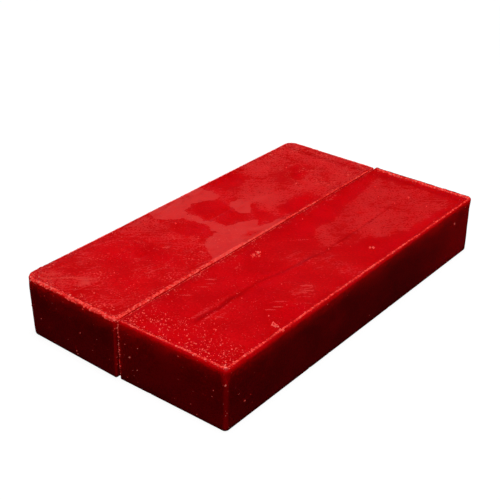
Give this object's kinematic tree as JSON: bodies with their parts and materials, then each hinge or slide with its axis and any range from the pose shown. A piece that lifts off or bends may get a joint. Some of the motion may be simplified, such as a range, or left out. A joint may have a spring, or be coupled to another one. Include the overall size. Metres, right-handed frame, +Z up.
{
  "type": "pair of cast wax bars",
  "caption": "Long rectangular cast bars of translucent wax-like compound lying side by side, with draft, round corners and a dished top face inside a raised lip.",
  "frame": {"origin": "under the middle of the pair, at the level of the surface that the bars stand on", "axes": "+Y along the bars' length, away from the near end; +X from the left bar to the right bar; +Z up"},
  "size_m": [0.1216, 0.201, 0.0299],
  "materials": {
    "wax": "satin"
  },
  "bodies": {
    "left_bar": {"left_bar": "wax"},
    "right_bar": {"right_bar": "wax"}
  },
  "joints": [
    {"name": "right_bar_slide", "type": "slide", "parent": "left_bar", "child": "right_bar", "axis": [1, 0, 0], "range_m": [0, 0.065]}
  ]
}
